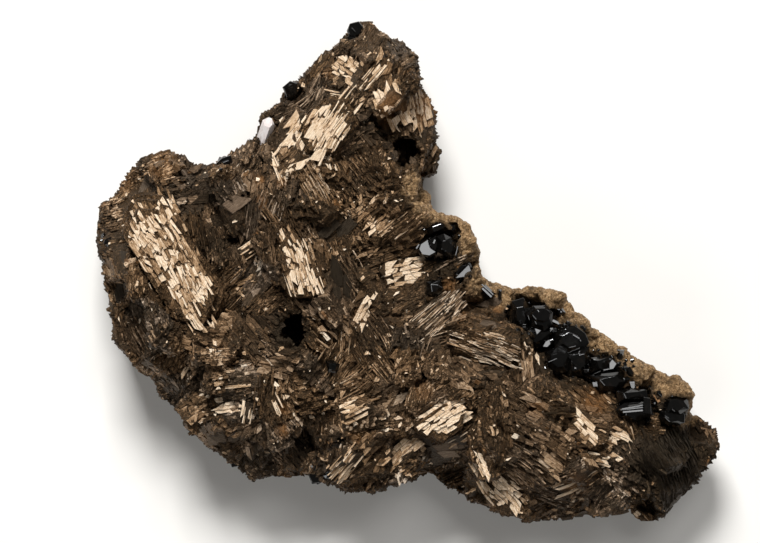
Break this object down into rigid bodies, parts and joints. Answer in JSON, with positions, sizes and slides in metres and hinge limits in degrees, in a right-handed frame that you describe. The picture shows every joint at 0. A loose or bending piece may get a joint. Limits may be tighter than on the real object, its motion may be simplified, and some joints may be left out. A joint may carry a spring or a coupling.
{
  "type": "cassiterite mineral specimen",
  "caption": "Rugged boot-shaped mineral specimen lying on its back: bronze mica matrix with black cassiterite crystals along a crusted groove and a small quartz crystal.",
  "frame": {"origin": "on the surface that the specimen rests on, under the middle of its bounding box", "axes": "+X from the heel of the boot shape to its toe, +Y towards the top lobe, +Z out of the crystal side, up"},
  "size_m": [0.1112, 0.0892, 0.032],
  "materials": {
    "matrix": "rough broken mica rock, dark brown, with a tan fine-grained crust along one edge",
    "mica": "bronze mica in stacked leaves with a bright pearly to metallic sheen on the cleavage faces",
    "cassiterite": "black, mirror-bright crystal faces",
    "quartz": "clear to pale pinkish white crystal"
  },
  "bodies": {
    "root": {"mica_matrix": "matrix", "left_mica_book": "mica", "top_mica_book": "mica", "middle_mica_book": "mica", "groove_mica_book": "mica", "sole_mica_book": "mica", "toe_mica_book": "mica", "cassiterite_shoulder": "cassiterite", "cassiterite_wedge": "cassiterite", "cassiterite_recess": "cassiterite", "cassiterite_striated": "cassiterite", "cassiterite_upper": "cassiterite", "cassiterite_lower": "cassiterite", "cassiterite_bead": "cassiterite", "cassiterite_middle": "cassiterite", "cassiterite_rim": "cassiterite", "cassiterite_prism": "cassiterite", "cassiterite_toe": "cassiterite", "cassiterite_inner": "cassiterite", "cassiterite_saddle": "cassiterite", "cassiterite_lobe": "cassiterite", "cassiterite_tip": "cassiterite", "cassiterite_heel": "cassiterite", "cassiterite_sole_left": "cassiterite", "cassiterite_sole_middle": "cassiterite", "cassiterite_sole_right": "cassiterite", "quartz_crystal": "quartz"}
  },
  "joints": []
}
